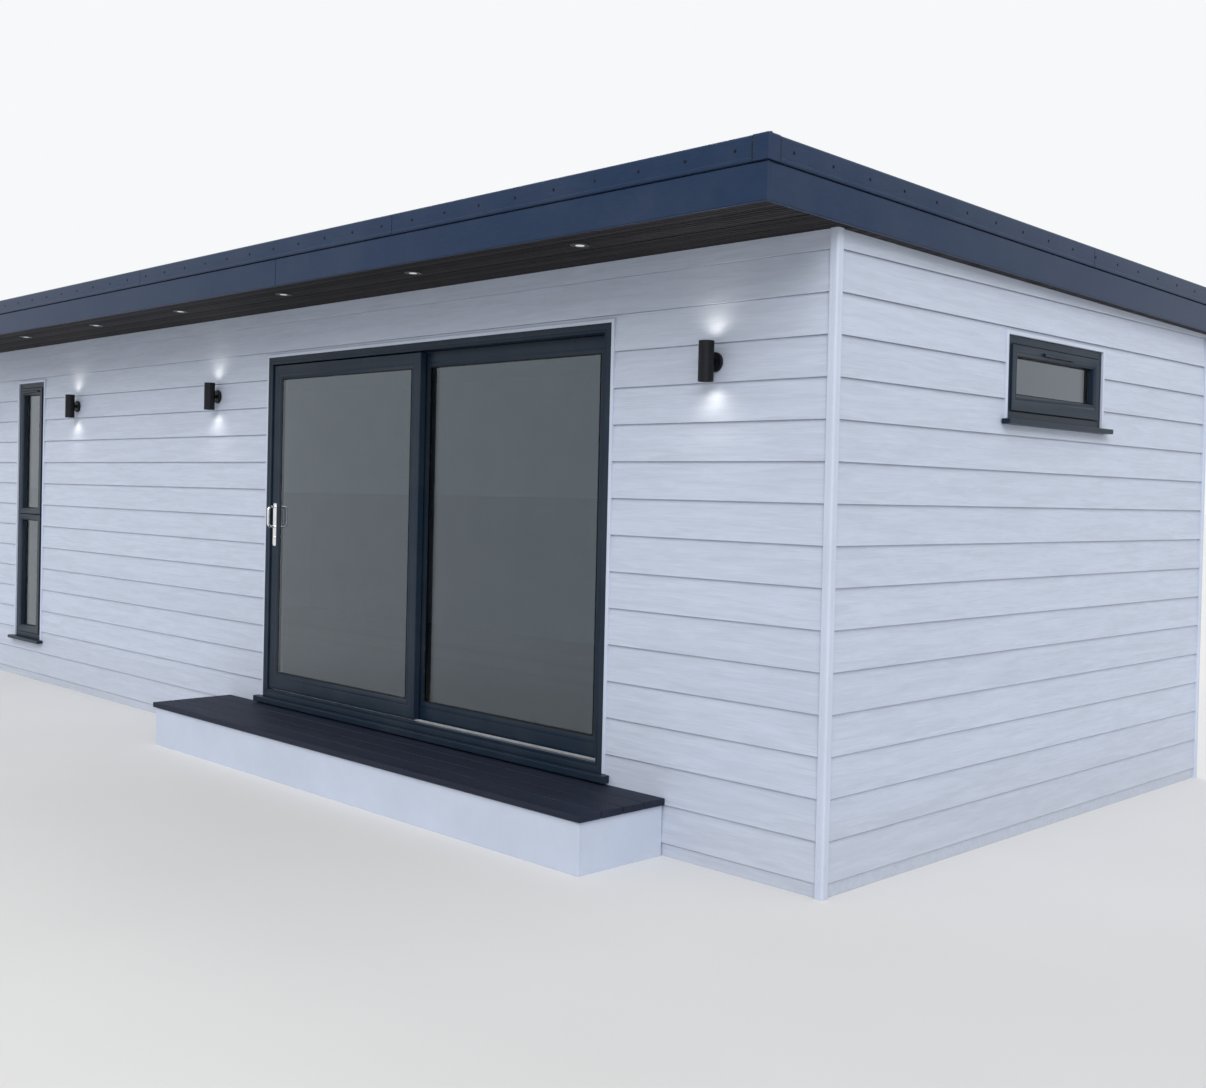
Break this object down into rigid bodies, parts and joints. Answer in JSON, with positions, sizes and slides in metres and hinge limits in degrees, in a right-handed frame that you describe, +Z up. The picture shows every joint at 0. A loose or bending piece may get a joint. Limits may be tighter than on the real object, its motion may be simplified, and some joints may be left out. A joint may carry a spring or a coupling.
{
  "type": "garden office pod",
  "caption": "Single-storey garden room with white lap cladding, a flat roof with a deep front overhang, a sliding patio door, two windows and a deck step.",
  "frame": {"origin": "centre of the whole outline, on the ground", "axes": "+X to the right along the front, +Y into the building, +Z up"},
  "size_m": [9.646, 4.371, 2.953],
  "materials": {
    "base_timber": "treated softwood",
    "floor_board": "matt boards",
    "wall_lining": "matt painted lining",
    "white_cladding": "white lap boards with an embossed grain",
    "white_trim": "smooth white trim",
    "roof_timber": "boarded panel",
    "roof_rubber": "matt roof covering",
    "anthracite_fascia": "satin anthracite",
    "soffit_board": "reeded anthracite boards",
    "lamp_rim": "satin",
    "anthracite_frame": "satin anthracite with a fine grain",
    "track_metal": "satin",
    "glass": "clear sealed units",
    "handle_chrome": "polished",
    "step_deck_board": "brushed composite boards",
    "black_lamp": "matt black"
  },
  "bodies": {
    "building": {"base_bearers": "base_timber", "floor_joists": "base_timber", "floor_deck": "floor_board", "front_wall_left": "wall_lining", "front_wall_right": "wall_lining", "front_wall_over_door": "wall_lining", "right_wall": "wall_lining", "left_wall": "wall_lining", "back_wall": "wall_lining", "ceiling": "wall_lining", "front_cladding": "white_cladding", "right_cladding": "white_cladding", "left_cladding": "white_cladding", "back_cladding": "white_cladding", "base_trim": "white_cladding", "corner_trims": "white_trim", "opening_trims": "white_trim", "step_frame": "white_trim", "roof_panel": "roof_timber", "roof_membrane": "roof_rubber", "fascia_boards": "anthracite_fascia", "roof_edge_trims": "anthracite_fascia", "roof_corner_covers": "anthracite_fascia", "front_soffit": "soffit_board", "side_soffits": "soffit_board", "downlights": "lamp_rim", "door_frame": "anthracite_frame", "door_cill": "anthracite_frame", "fixed_door_sash": "anthracite_frame", "narrow_window_frame": "anthracite_frame", "narrow_window_cill": "anthracite_frame", "small_window_frame": "anthracite_frame", "small_window_cill": "anthracite_frame", "door_track": "track_metal", "fixed_door_glass": "glass", "narrow_window_glass": "glass", "small_window_glass": "glass", "step_deck": "step_deck_board", "wall_lights": "black_lamp"},
    "sliding_door": {"sliding_door_sash": "anthracite_frame", "sliding_door_glass": "glass", "outer_handle": "handle_chrome", "inner_handle": "handle_chrome"}
  },
  "joints": [
    {"name": "door_slide", "type": "slide", "parent": "building", "child": "sliding_door", "axis": [1, 0, 0], "range_m": [0, 1.34]}
  ]
}
